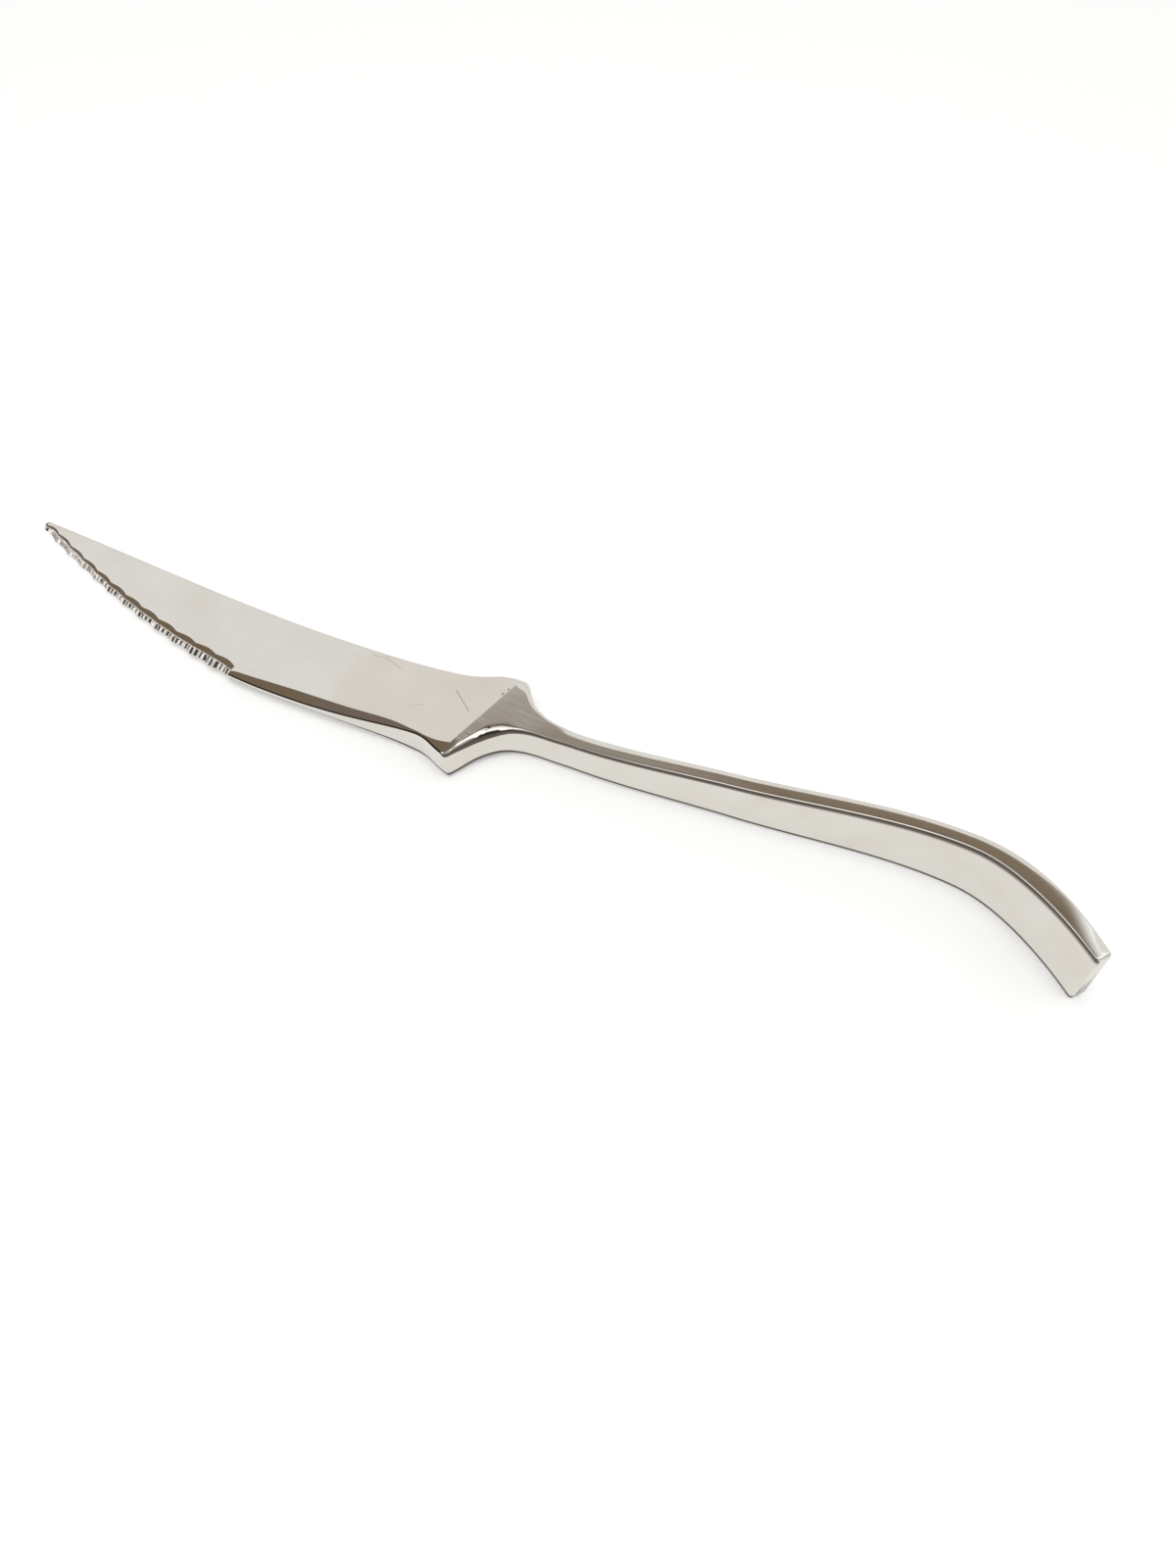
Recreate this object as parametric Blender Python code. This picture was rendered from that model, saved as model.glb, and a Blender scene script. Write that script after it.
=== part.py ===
"""A steak knife lying on its side: a serrated blade brazed into a forged strip handle.

The knife is drawn in its own frame. X runs from the tip to the end of the handle, Y from the cutting
edge to the spine, and Z square to the blade's flat. The joint crosses the axis at X = 0. The finished
knife is tipped to lie on a table, with the middle of its footprint at the world's origin.
"""

from math import atan2, cos, pi, radians, sin, tan

import bmesh
import bpy
from mathutils import Vector

MM = 0.001

# Joint between the blade and the bolster
GAP = 0.3 * MM                   # clearance between separate pieces
JOINT_RAKE = radians(14.0)       # lean of the joint from square across the axis
UPPER_WING = 9.1 * MM            # joint's reach from the axis on the spine side
LOWER_WING = 13.0 * MM           # joint's reach from the axis on the edge side
BOLSTER_THICKNESS = 8.6 * MM

# Blade
BLADE_LENGTH = 114.9 * MM        # tip to joint, along the axis
BLADE_THICKNESS = 2.1 * MM
TIP_THICKNESS = 1.0 * MM
FLARE_LENGTH = 36.4 * MM         # stretch over which the blade thickens to the bolster
SPINE_ROUND = 0.4 * MM

# Spine line: distances to the joint, heights above the axis, and the line's slopes there
TIP_DROP = 0.4 * MM              # spine below the axis at the tip
TIP_SLOPE = 0.04
SPINE_RISE_LENGTH = 34.4 * MM
SPINE_RISE_HEIGHT = 2.85 * MM
SPINE_RISE_SLOPE = 0.105
SPINE_WAIST_LENGTH = 7.7 * MM    # where the spine turns out to the upper wing
SPINE_WAIST_HEIGHT = 5.6 * MM
SPINE_WAIST_SLOPE = 0.13
WING_CLIMB_LENGTH = 2.0 * MM     # just before the upper wing's rounded top
WING_CLIMB_HEIGHT = 9.0 * MM
WING_CLIMB_SLOPE = 0.55
UPPER_WING_SLOPE = -0.45

# Edge line: depths below the axis, and the line's slopes there
NOSE_DEPTH = 2.0 * MM            # lower corner of the blunt nose
NOSE_SLOPE = -0.42
SERRATED_LENGTH = 61.5 * MM      # tip to the heel of the serration
BELLY_DEPTH = 8.0 * MM           # a third of the way along the serration
BELLY_SLOPE = -0.28
HEEL_DEPTH = 15.7 * MM
EDGE_WAIST_LENGTH = 10.7 * MM    # from where the blunt edge turns out to the lower wing, to the joint
EDGE_WAIST_DEPTH = 11.6 * MM
EDGE_WAIST_SLOPE = 0.08
LOWER_WING_SLOPE = -0.45

# Serration, ground on the upper face only
SCALLOP_COUNT = 12
SCALLOP_DEPTH = 0.45 * MM        # bulge of each scallop into the blade's face
SCALLOP_BITE = 0.2 * MM          # recess of each scallop in the edge line
GRIND_WIDTH_TIP = 0.5 * MM
GRIND_WIDTH_HEEL = 2.6 * MM
EDGE_LAND = 0.25 * MM            # thickness left at the cutting edge

# Bevel along the blunt edge behind the serration, on both faces
RICASSO_BEVEL_WIDTH = 2.0 * MM
RICASSO_BEVEL_DROP = 0.4 * MM
BEVEL_LIMIT = 0.6                # most of the blade's depth that any bevel may take

# Bolster's sides, from the joint to the neck
WING_TIP_LENGTH = 0.95 * MM      # joint to the tip of the lower wing
WING_TIP_DEPTH = 13.35 * MM
WING_TIP_SLOPE = 2.1
SHOULDER_LENGTH = 6.6 * MM       # joint to the shoulder on the spine side
SHOULDER_HEIGHT = 5.55 * MM
SHOULDER_SLOPE = -1.05

# Handle strip: heights of its middle line above the axis, and the line's slopes there
HANDLE_LENGTH = 120.1 * MM       # joint to end, along the axis
NECK_LENGTH = 14.6 * MM          # joint to where the bolster has narrowed to the strip
NECK_HEIGHT = 1.15 * MM
NECK_SLOPE = 0.04
SHANK_SHARE = 0.45               # shank's place on the way from the neck to the crest
SHANK_HEIGHT = 6.7 * MM
SHANK_SLOPE = 0.17
BEND_LENGTH = 26.8 * MM          # crest of the S-curve to the end
CREST_HEIGHT = 13.8 * MM
END_HEIGHT = 2.4 * MM
END_SLOPE = -0.77
NECK_THICKNESS = 3.2 * MM        # in the blade's plane
END_THICKNESS = 3.3 * MM
END_WIDTH = 17.0 * MM            # square to the blade's flat
NECK_WIDENING = 0.06             # growth of the width along the strip
END_WIDENING = 0.027
EDGE_ROUND = 0.6 * MM

# Stub tang and the braze around it
TANG_LENGTH = 6.0 * MM
TANG_ROOT_WIDTH = 7.0 * MM
TANG_TIP_WIDTH = 1.8 * MM
TANG_THICKNESS = 2.4 * MM
TANG_HEIGHT = 1.0 * MM           # tang's middle above the axis
TANG_ROOT_DEPTH = 2.0 * MM       # how far the tang is sunk into the blade
BRAZE_WALL = 0.4 * MM

# Fineness of the mesh
SCALLOP_STEPS = 6
RICASSO_STEPS = 24
BOLSTER_STEPS = 14
BOLSTER_CROWDING = 1.6           # above 1, rings stand closer together near the joint
STRIP_STEPS = 40
ROUND_STEPS = 3

# Base colour and roughness of each piece
POLISHED_BLADE = (0.69, 0.67, 0.64), 0.12
POLISHED_HANDLE = (0.67, 0.65, 0.61), 0.15
SILVER_BRAZE = (0.78, 0.72, 0.58), 0.35


def mix(start, end, share):
    return start + (end - start) * share


def spread(start, end, steps):
    """Evenly spaced values from start to end, both included."""
    return [mix(start, end, i / steps) for i in range(steps + 1)]


def curve(knots, x):
    """Height at x of the smooth curve through knots of (x, height, slope)."""
    for (x0, y0, slope0), (x1, y1, slope1) in zip(knots, knots[1:]):
        if x <= x1:
            break
    span = x1 - x0
    t = (x - x0) / span
    rest = 1 - t
    return (y0 * rest * rest * (1 + 2 * t) + y1 * t * t * (3 - 2 * t)
            + span * rest * t * (slope0 * rest - slope1 * t))


def joint_x(y):
    """The raked joint's place along the axis at height y."""
    return y * tan(JOINT_RAKE)


def spine_height(x):
    wing = joint_x(UPPER_WING)
    return curve((
        (-BLADE_LENGTH, -TIP_DROP, TIP_SLOPE),
        (-SPINE_RISE_LENGTH, SPINE_RISE_HEIGHT, SPINE_RISE_SLOPE),
        (-SPINE_WAIST_LENGTH, SPINE_WAIST_HEIGHT, SPINE_WAIST_SLOPE),
        (wing - WING_CLIMB_LENGTH, WING_CLIMB_HEIGHT, WING_CLIMB_SLOPE),
        (wing, UPPER_WING, UPPER_WING_SLOPE),
    ), x)


def edge_height(x):
    heel = SERRATED_LENGTH - BLADE_LENGTH
    return curve((
        (-BLADE_LENGTH, -NOSE_DEPTH, NOSE_SLOPE),
        (mix(-BLADE_LENGTH, heel, 1 / 3), -BELLY_DEPTH, BELLY_SLOPE),
        (heel, -HEEL_DEPTH, 0.0),
        (-EDGE_WAIST_LENGTH, -EDGE_WAIST_DEPTH, EDGE_WAIST_SLOPE),
        (joint_x(-LOWER_WING), -LOWER_WING, LOWER_WING_SLOPE),
    ), x)


def strip_height(x):
    crest = HANDLE_LENGTH - BEND_LENGTH
    return curve((
        (NECK_LENGTH, NECK_HEIGHT, NECK_SLOPE),
        (mix(NECK_LENGTH, crest, SHANK_SHARE), SHANK_HEIGHT, SHANK_SLOPE),
        (crest, CREST_HEIGHT, 0.0),
        (HANDLE_LENGTH, END_HEIGHT, END_SLOPE),
    ), x)


def handle_width(x):
    return curve((
        (joint_x(-LOWER_WING), BOLSTER_THICKNESS, 0.0),
        (NECK_LENGTH, BOLSTER_THICKNESS, NECK_WIDENING),
        (HANDLE_LENGTH, END_WIDTH, END_WIDENING),
    ), x)


def raised(point, z):
    return Vector((point.x, point.y, z))


def loft(name, rings):
    """A closed solid through rings of points that all run the same way round."""
    bm = bmesh.new()
    loops = [[bm.verts.new(point) for point in ring] for ring in rings]
    count = len(loops[0])
    for near, far in zip(loops, loops[1:]):
        for i in range(count):
            j = (i + 1) % count
            bm.faces.new((near[i], near[j], far[j], far[i]))
    bm.faces.new(loops[0][::-1])
    bm.faces.new(loops[-1])
    bmesh.ops.recalc_face_normals(bm, faces=bm.faces)
    mesh = bpy.data.meshes.new(name)
    bm.to_mesh(mesh)
    bm.free()
    piece = bpy.data.objects.new(name, mesh)
    bpy.context.collection.objects.link(piece)
    return piece


def blade_thickness(share):
    """Thickness at a share of the way from the joint to the tip."""
    from_joint = share * BLADE_LENGTH
    from_tip = BLADE_LENGTH - from_joint
    thickness = mix(TIP_THICKNESS, BLADE_THICKNESS, min(from_tip / SERRATED_LENGTH, 1.0))
    if from_joint < FLARE_LENGTH:
        t = from_joint / FLARE_LENGTH
        thickness += (BOLSTER_THICKNESS - BLADE_THICKNESS) * (1 - t) ** 2 * (1 + t)
    return thickness


def blade_section(x, serrated):
    """Ring around the blade from its edge at x, slanting from the joint's rake to the tip."""
    low_joint = joint_x(-LOWER_WING)
    share = (low_joint - x) / (low_joint + BLADE_LENGTH)
    spine_x = mix(joint_x(UPPER_WING), -BLADE_LENGTH, share)
    spine = Vector((spine_x, spine_height(spine_x)))
    edge = Vector((x, edge_height(x)))
    across = (spine - edge).normalized()
    depth = (spine - edge).length
    half = blade_thickness(share) / 2
    low_width = RICASSO_BEVEL_WIDTH
    low_drop = high_drop = RICASSO_BEVEL_DROP
    high_width = RICASSO_BEVEL_WIDTH
    if serrated:
        along = (x + BLADE_LENGTH) / SERRATED_LENGTH
        bulge = abs(sin(pi * SCALLOP_COUNT * along))
        edge += across * (SCALLOP_BITE * bulge)
        high_width = mix(GRIND_WIDTH_TIP, GRIND_WIDTH_HEEL, along) + SCALLOP_DEPTH * bulge
        high_drop = 2 * half - EDGE_LAND
        low_width = EDGE_LAND
        low_drop = 0.0
    high_width = min(high_width, BEVEL_LIMIT * depth)
    low_width = min(low_width, BEVEL_LIMIT * depth)
    corner = min(SPINE_ROUND, half / 2, depth / 4)
    ring = [raised(edge, low_drop - half), raised(edge, half - high_drop)]
    ring.append(raised(edge + across * high_width, half))
    ring.append(raised(spine - across * corner, half))
    ring.append(raised(spine, half - corner))
    ring.append(raised(spine, corner - half))
    ring.append(raised(spine - across * corner, -half))
    ring.append(raised(edge + across * low_width, -half))
    return ring


def make_blade():
    heel = SERRATED_LENGTH - BLADE_LENGTH
    rings = [blade_section(x, True)
             for x in spread(-BLADE_LENGTH, heel, SCALLOP_COUNT * SCALLOP_STEPS)]
    rings += [blade_section(x, False)
              for x in spread(heel + EDGE_LAND, joint_x(-LOWER_WING), RICASSO_STEPS)]
    for point in rings[-1]:
        point.x -= GAP / 2
    blade = loft("blade", rings)
    tang = make_wedge("tang_shape", -TANG_ROOT_DEPTH, TANG_LENGTH, 0.0)
    combine(blade, tang, "UNION")
    return blade


def rounded_section(near, far, half_width, inset=0.0):
    """Ring around the strip between its near and far sides, with rounded edges."""
    across = (far - near).normalized()
    middle = (near + far) / 2
    reach = (far - near).length / 2 - inset
    top = half_width - inset
    corner = min(EDGE_ROUND, reach / 2, top / 2)
    ring = []
    for quarter, (side, lift) in enumerate(((1, 1), (-1, 1), (-1, -1), (1, -1))):
        for angle in spread(quarter * pi / 2, (quarter + 1) * pi / 2, ROUND_STEPS):
            offset = side * (reach - corner) + corner * cos(angle)
            height = lift * (top - corner) + corner * sin(angle)
            ring.append(raised(middle + across * offset, height))
    return ring


def strip_sides(x):
    """The strip's near and far side at x, square across its middle line."""
    step = 0.01 * MM
    along = Vector((2 * step, strip_height(x) - strip_height(x - 2 * step)))
    across = Vector((-along.y, along.x)).normalized()
    share = (x - NECK_LENGTH) / (HANDLE_LENGTH - NECK_LENGTH)
    reach = mix(NECK_THICKNESS, END_THICKNESS, share) / 2
    middle = Vector((x, strip_height(x)))
    return middle - across * reach, middle + across * reach


def bolster_sections():
    """Rings from the raked joint to the neck, between two concave sides."""
    near_neck, far_neck = strip_sides(NECK_LENGTH)
    near_start = Vector((joint_x(-LOWER_WING) + GAP / 2, -LOWER_WING))
    far_start = Vector((joint_x(UPPER_WING) + GAP / 2, UPPER_WING))
    near_side = (
        (*near_start, LOWER_WING_SLOPE),
        (near_start.x + WING_TIP_LENGTH, -WING_TIP_DEPTH, WING_TIP_SLOPE),
        (*near_neck, NECK_SLOPE),
    )
    far_side = (
        (*far_start, UPPER_WING_SLOPE),
        (SHOULDER_LENGTH, SHOULDER_HEIGHT, SHOULDER_SLOPE),
        (*far_neck, NECK_SLOPE),
    )
    rings = []
    for share in spread(0.0, 1.0, BOLSTER_STEPS)[:-1]:
        crowded = share ** BOLSTER_CROWDING
        near_x = mix(near_start.x, near_neck.x, crowded)
        far_x = mix(far_start.x, far_neck.x, crowded)
        near = Vector((near_x, curve(near_side, near_x)))
        far = Vector((far_x, curve(far_side, far_x)))
        rings.append(rounded_section(near, far, handle_width(near_x) / 2))
    return rings


def make_handle():
    rings = bolster_sections()
    round_start = HANDLE_LENGTH - EDGE_ROUND
    for x in spread(NECK_LENGTH, round_start, STRIP_STEPS):
        rings.append(rounded_section(*strip_sides(x), handle_width(x) / 2))
    for angle in spread(0.0, pi / 2, ROUND_STEPS)[1:]:
        x = round_start + EDGE_ROUND * sin(angle)
        inset = EDGE_ROUND * (1 - cos(angle))
        rings.append(rounded_section(*strip_sides(x), handle_width(x) / 2, inset))
    handle = loft("handle", rings)
    grow = 2 * GAP + BRAZE_WALL
    socket = make_wedge("socket_shape", -TANG_ROOT_DEPTH, TANG_LENGTH + grow, grow)
    combine(handle, socket, "DIFFERENCE")
    return handle


def make_wedge(name, front, back, grow):
    """A tapered block that starts on the joint's rake; grow widens it all round the tang."""
    taper = (TANG_TIP_WIDTH - TANG_ROOT_WIDTH) / TANG_LENGTH
    top = TANG_THICKNESS / 2 + grow
    starts = []
    ends = []
    for side in (-1, 1):
        lean = side * taper / 2
        root = TANG_HEIGHT + side * (TANG_ROOT_WIDTH / 2 + grow)
        front_y = (root + lean * front) / (1 - lean * tan(JOINT_RAKE))
        starts.append(Vector((joint_x(front_y) + front, front_y)))
        ends.append(Vector((back, root + lean * back)))
    corners = [*starts, *reversed(ends)]
    return loft(name, [[raised(corner, z) for corner in corners] for z in (-top, top)])


def make_braze():
    outer = GAP + BRAZE_WALL
    braze = make_wedge("tang_braze", GAP, TANG_LENGTH + outer, outer)
    hollow = make_wedge("braze_hollow", -TANG_ROOT_DEPTH, TANG_LENGTH + GAP, GAP)
    combine(braze, hollow, "DIFFERENCE")
    return braze


def combine(piece, shape, operation):
    """Join a hidden shape to a piece, or cut it out."""
    shape.hide_render = True
    shape.display_type = "WIRE"
    boolean = piece.modifiers.new(shape.name, "BOOLEAN")
    boolean.operation = operation
    boolean.solver = "EXACT"
    boolean.object = shape


def paint(piece, colour, roughness):
    material = bpy.data.materials.new(piece.name)
    material.use_nodes = True
    shader = material.node_tree.nodes["Principled BSDF"]
    shader.inputs["Base Color"].default_value = (*colour, 1.0)
    shader.inputs["Metallic"].default_value = 1.0
    shader.inputs["Roughness"].default_value = roughness
    piece.data.materials.append(material)


def resting_pitch():
    """Lean at which the knife touches the table under its tip and under its handle."""
    def steepness(x):
        return (handle_width(x) - TIP_THICKNESS) / 2 / (x + BLADE_LENGTH)

    foot = max(spread(0.0, HANDLE_LENGTH - EDGE_ROUND, STRIP_STEPS), key=steepness)
    return atan2((handle_width(foot) - TIP_THICKNESS) / 2, foot + BLADE_LENGTH)


def lay_down(pieces):
    """Tip the knife onto the table and centre it over the origin."""
    knife = bpy.data.objects.new("knife", None)
    bpy.context.collection.objects.link(knife)
    knife.rotation_euler.y = -resting_pitch()
    turned = knife.rotation_euler.to_matrix()
    points = [turned @ vertex.co for piece in pieces for vertex in piece.data.vertices]
    low = Vector(min(point[i] for point in points) for i in range(3))
    high = Vector(max(point[i] for point in points) for i in range(3))
    knife.location = -(low + high) / 2
    knife.location.z = -low.z
    for piece in bpy.data.objects:
        if piece.type == "MESH":
            piece.parent = knife


for leftover in list(bpy.data.objects):
    bpy.data.objects.remove(leftover)

blade = make_blade()
handle = make_handle()
braze = make_braze()
paint(blade, *POLISHED_BLADE)
paint(handle, *POLISHED_HANDLE)
paint(braze, *SILVER_BRAZE)
lay_down((blade, handle, braze))
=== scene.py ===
from math import cos, pi, radians, sin, sqrt, tan

import bmesh
import bpy
from mathutils import Matrix, Vector


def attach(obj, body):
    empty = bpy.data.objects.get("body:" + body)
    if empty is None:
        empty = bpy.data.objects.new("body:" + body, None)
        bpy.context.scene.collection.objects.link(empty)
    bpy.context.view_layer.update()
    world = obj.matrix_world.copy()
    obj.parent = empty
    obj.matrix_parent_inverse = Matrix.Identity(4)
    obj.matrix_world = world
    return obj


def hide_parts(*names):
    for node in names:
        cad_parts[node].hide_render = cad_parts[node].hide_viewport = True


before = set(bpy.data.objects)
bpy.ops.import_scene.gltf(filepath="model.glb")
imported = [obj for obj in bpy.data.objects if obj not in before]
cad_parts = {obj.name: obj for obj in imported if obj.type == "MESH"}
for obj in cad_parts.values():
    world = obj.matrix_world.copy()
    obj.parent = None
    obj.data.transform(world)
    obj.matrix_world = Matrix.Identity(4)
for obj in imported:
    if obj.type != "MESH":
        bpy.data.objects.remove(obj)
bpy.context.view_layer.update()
bpy.context.scene.view_settings.view_transform = "Standard"

# Blade: one blank of hardened stainless steel, flat-ground, mirror-polished and thickened to the bolster.
# A fluted wheel cuts the serration into the upper face only, and a stub tang is brazed into the bolster.

# Sizes are in millimetres, in the knife's own frame: X runs from the tip to the handle's end, with 0 at
# the joint, Y from the cutting edge to the spine, and Z square to the flat
MILLIMETRE = 0.001
BLADE_LENGTH = 114.9
SERRATED_LENGTH = 61.5
HEEL_X = SERRATED_LENGTH - BLADE_LENGTH
JOINT_SLOPE = tan(radians(14.0))
UPPER_WING = 10.1
LOWER_WING = 13.0
LOWER_WING_SLOPE = -0.2
LOW_END = BLADE_LENGTH - LOWER_WING * JOINT_SLOPE
BLADE_HALF = 1.05
TIP_HALF = 0.5
BOLSTER_HALF = 4.3
FLARE_LENGTH = 36.4
NOSE_LENGTH = 0.6
NOSE_THIN = 0.6
SEAM = 0.02
# Outlines, widths and rounds are smooth curves through knots of (x, value, slope)
SPINE_LINE = (
    (-BLADE_LENGTH, -0.2, 0.038),
    (-34.4, 2.85, 0.105),
    (-10.5, 5.27, 0.15),
    (-4.0, 7.2, 0.46),
    (-0.6, 9.1, 0.55),
    (UPPER_WING * JOINT_SLOPE, UPPER_WING, -0.05),
)
SERRATED_LINE = (
    (-BLADE_LENGTH, -2.05, -0.4),
    (-94.4, -8.45, -0.283),
    (-69.0, -13.87, -0.165),
    (HEEL_X, -15.65, -0.08),
)
BLUNT_LINE = (
    (HEEL_X, -15.65, 0.0),
    (-28.0, -13.55, 0.125),
    (-10.7, -11.35, 0.05),
    (-6.6, -12.0, -0.36),
    (-LOWER_WING * JOINT_SLOPE, -LOWER_WING, LOWER_WING_SLOPE),
)
# Serration: scallops along the edge, flutes across them, and a plain shelf above the flutes
SCALLOP_COUNT = 12
SCALLOP_DRIFT = -1.5
SCALLOP_BULGE = 0.4
SCALLOP_SKEW = 1.2
EDGE_BULGE = 0.38
FLUTES_PER_SCALLOP = 5
FLUTE_DEPTH = 0.32
TIP_FLUTE_SHARE = 0.75
FLUTE_RUNOUT = 0.2
# As the grinding leaves them, flutes wander and differ in depth, at rates in radians per scallop
FLUTE_WANDER = 0.035
WANDER_RATE = 7.0
FLUTE_UNEVEN = 0.4
UNEVEN_RATE = 9.7
FLUTE_STEPS = 6
STATIONS_PER_FLUTE = 8
TIP_EDGE_LEVEL = -0.27
HEEL_EDGE_LEVEL = -0.35
UNDER_BEVEL = 3.0
GRIND_WIDTH = (
    (0.0, 0.7, 0.3),
    (4.0, 1.65, 0.05),
    (12.0, 1.7, 0.0),
    (45.0, 2.0, 0.015),
    (55.0, 2.45, 0.03),
    (SERRATED_LENGTH, 2.15, -0.15),
)
SHELF_WIDTH = (
    (0.0, 0.3, 0.01),
    (15.0, 0.45, 0.015),
    (40.0, 0.8, 0.0),
    (SERRATED_LENGTH, 0.85, 0.0),
)
SHELF_BULGE = 0.35
TIP_SHELF_SHARE = 0.4
SHELF_SLOPE = tan(radians(18))
SHELF_STEPS = 2
# Blunt edge: a lens-shaped bevel behind the heel, which widens again where the edge turns out to the wing
RICASSO_LENGTH = LOW_END - SERRATED_LENGTH
WING_BEVEL = 2.75
BEVEL_WIDTH = (
    (0.0, 0.8, 0.5),
    (3.6, 1.5, 0.11),
    (9.0, 2.0, 0.08),
    (18.5, 2.36, 0.0),
    (27.0, 2.1, -0.04),
    (36.4, 1.57, -0.1),
    (44.6, 0.55, 0.0),
    (RICASSO_LENGTH, WING_BEVEL, 0.55),
)
BEVEL_ANGLE = 10
BEVEL_SLOPE = tan(radians(BEVEL_ANGLE))
BEVEL_STEPS = 2
FULL_SLOPE_WIDTH = 1.65
WING_START = 38.0
WING_REACH = 12.0
EDGE_ROUND = 0.25
EDGE_STEPS = 6
WING_ROUND = 0.35
SPINE_ROUND = 0.4
SPINE_STEPS = 7
SPINE_DROP_SHARE = 0.8
WING_BACK_ROUND = 3.1
WING_BACK_START = 0.95
FACE_STEPS = 8
UNDER_STEPS = 6
CREASE = 0.05
# Finish and painted shade of a point, which the steel's material reads: mirror bright, satin, and painted
# shade, a dark tone on narrow rounded edges that stands in for the shadowed table they mirror
BRIGHT = 0.0
SATIN = 1.0
# Painted shade: a dark tone for edges that would mirror the shadow beneath the knife
PAINTED_SHADE = -1.0
# The painted shade line along the foot of the blunt side, a dark tone for the shadowed table it mirrors, as
# high as a low side leaves room for
DARK_RISE = 0.45
DARK_LEAST = 0.02
DARK_FADE = 1.4
SIDE_SHARE = 0.2
SIDE_LOSS = 0.1
SIDE_POINTS = 4
BRIGHT_SIDE_POINTS = 2
# The knife lies as the solids do: on the blade's tip and on the lower edge of the handle
REST_PITCH = 0.0349668
REST_PLACE = (-3.0933, 0.1314, 4.5233)
lie_down = (Matrix.Scale(MILLIMETRE, 4) @ Matrix.Translation(REST_PLACE)
            @ Matrix.Rotation(-REST_PITCH, 4, "Y"))


def mix(start, end, share):
    """The value at a share of the way from start to end."""
    return start + (end - start) * share


def ease(share):
    """A share held between 0 and 1, with a soft start and end."""
    share = max(0.0, min(1.0, share))
    return share * share * (3 - 2 * share)


def spread(start, end, steps):
    """Values in equal steps from start to end."""
    return [mix(start, end, i / steps) for i in range(steps + 1)]


def creased(start, end, steps):
    """Places from start to end, with one more just inside each end, so that a flat's shading stays flat."""
    inside = CREASE if end > start else -CREASE
    return [start, start + inside, *spread(start, end, steps)[1:-1], end - inside, end]


def curve(knots, x):
    """Height at x of the smooth curve through knots of (x, height, slope)."""
    for (x0, y0, slope0), (x1, y1, slope1) in zip(knots, knots[1:]):
        if x <= x1:
            break
    span = x1 - x0
    t = (x - x0) / span
    rest = 1 - t
    return (y0 * rest * rest * (1 + 2 * t) + y1 * t * t * (3 - 2 * t)
            + span * rest * t * (slope0 * rest - slope1 * t))


def blade_half(share):
    """Half the thickness at a share of the way from the tip to the joint."""
    from_tip = share * BLADE_LENGTH
    half = mix(TIP_HALF, BLADE_HALF, min(from_tip / (BLADE_LENGTH - FLARE_LENGTH), 1.0))
    t = (BLADE_LENGTH - from_tip) / FLARE_LENGTH
    if t < 1:
        half += (BOLSTER_HALF - BLADE_HALF) * (1 - t) ** 2 * (1 + t)
    return half


def fluted_bevel(scallops, half):
    """Points (in from the edge, up) of the serration's bevel, from the cutting edge to its top border."""
    along = scallops / SCALLOP_COUNT
    from_tip = along * SERRATED_LENGTH
    arch = sin(pi * (scallops % 1) ** SCALLOP_SKEW)
    edge = EDGE_BULGE * arch
    width = curve(GRIND_WIDTH, from_tip) + SCALLOP_BULGE * arch
    shelf_bulge = SHELF_BULGE * arch * mix(TIP_SHELF_SHARE, 1.0, along)
    flute_top = width - curve(SHELF_WIDTH, from_tip) - shelf_bulge
    shelf = half - (width - flute_top) * SHELF_SLOPE
    foot = mix(TIP_EDGE_LEVEL, HEEL_EDGE_LEVEL, along)
    wander = scallops + FLUTE_WANDER * sin(WANDER_RATE * scallops)
    uneven = 1 - FLUTE_UNEVEN * sin(UNEVEN_RATE * scallops) ** 2
    wave = abs(sin(pi * FLUTES_PER_SCALLOP * wander))
    flute = FLUTE_DEPTH * uneven * wave * mix(TIP_FLUTE_SHARE, 1.0, along)
    lean = Vector((shelf - foot, edge - flute_top)).normalized()
    points = []
    for t in spread(0, 1, FLUTE_STEPS):
        point = Vector((mix(edge, flute_top, t), mix(foot, shelf, t)))
        points.append(point + lean * flute * min(1.0, (1 - t) / FLUTE_RUNOUT))
    for inward in creased(flute_top, width, SHELF_STEPS)[1:]:
        points.append(Vector((inward, half - (width - inward) * SHELF_SLOPE)))
    return points


def plain_bevel(from_heel, half):
    """Points (in from the edge, up) of the blunt edge's bevel, from its rounded foot to its top border."""
    width = curve(BEVEL_WIDTH, from_heel)
    wing = ease((from_heel - WING_START) / WING_REACH)
    radius = min(mix(EDGE_ROUND, WING_ROUND, wing), width / 2)
    drop = BEVEL_SLOPE * mix(min(width, FULL_SLOPE_WIDTH), width, wing)
    points = []
    for angle in spread(180, 90 + BEVEL_ANGLE, EDGE_STEPS):
        points.append(Vector((radius + radius * cos(radians(angle)),
                              half - drop - radius + radius * sin(radians(angle)))))
    start = points[-1].copy()
    for inward in creased(start.x, width, BEVEL_STEPS)[1:]:
        points.append(start.lerp(Vector((width, half)), (inward - start.x) / (width - start.x)))
    return points


def blunt_under(upper):
    """Points down the blunt edge's side, with its line of painted shade, and along the bevel repeated
    below.
    """
    side = upper[0].y - CREASE
    dark = max(DARK_LEAST, min(DARK_RISE, SIDE_SHARE * side - SIDE_LOSS))
    points = [Vector((0, up)) for up in (side, DARK_FADE * dark - side, dark - side, -side)]
    return points + [Vector((point.x, -point.y)) for point in upper]


def rounded_spine(depth, half, share):
    """Points over the spine's round, from the upper face to the lower one."""
    wing = ease((share - WING_BACK_START) / (1 - WING_BACK_START))
    reach = min(mix(SPINE_ROUND, WING_BACK_ROUND, wing), depth / 4)
    drop = min(reach, half * SPINE_DROP_SHARE)
    points = []
    for angle in spread(0, 90, SPINE_STEPS):
        points.append(Vector((depth - reach + reach * sin(radians(angle)),
                              half - drop + drop * cos(radians(angle)))))
    return points + [Vector((point.x, -point.y)) for point in reversed(points)]


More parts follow.
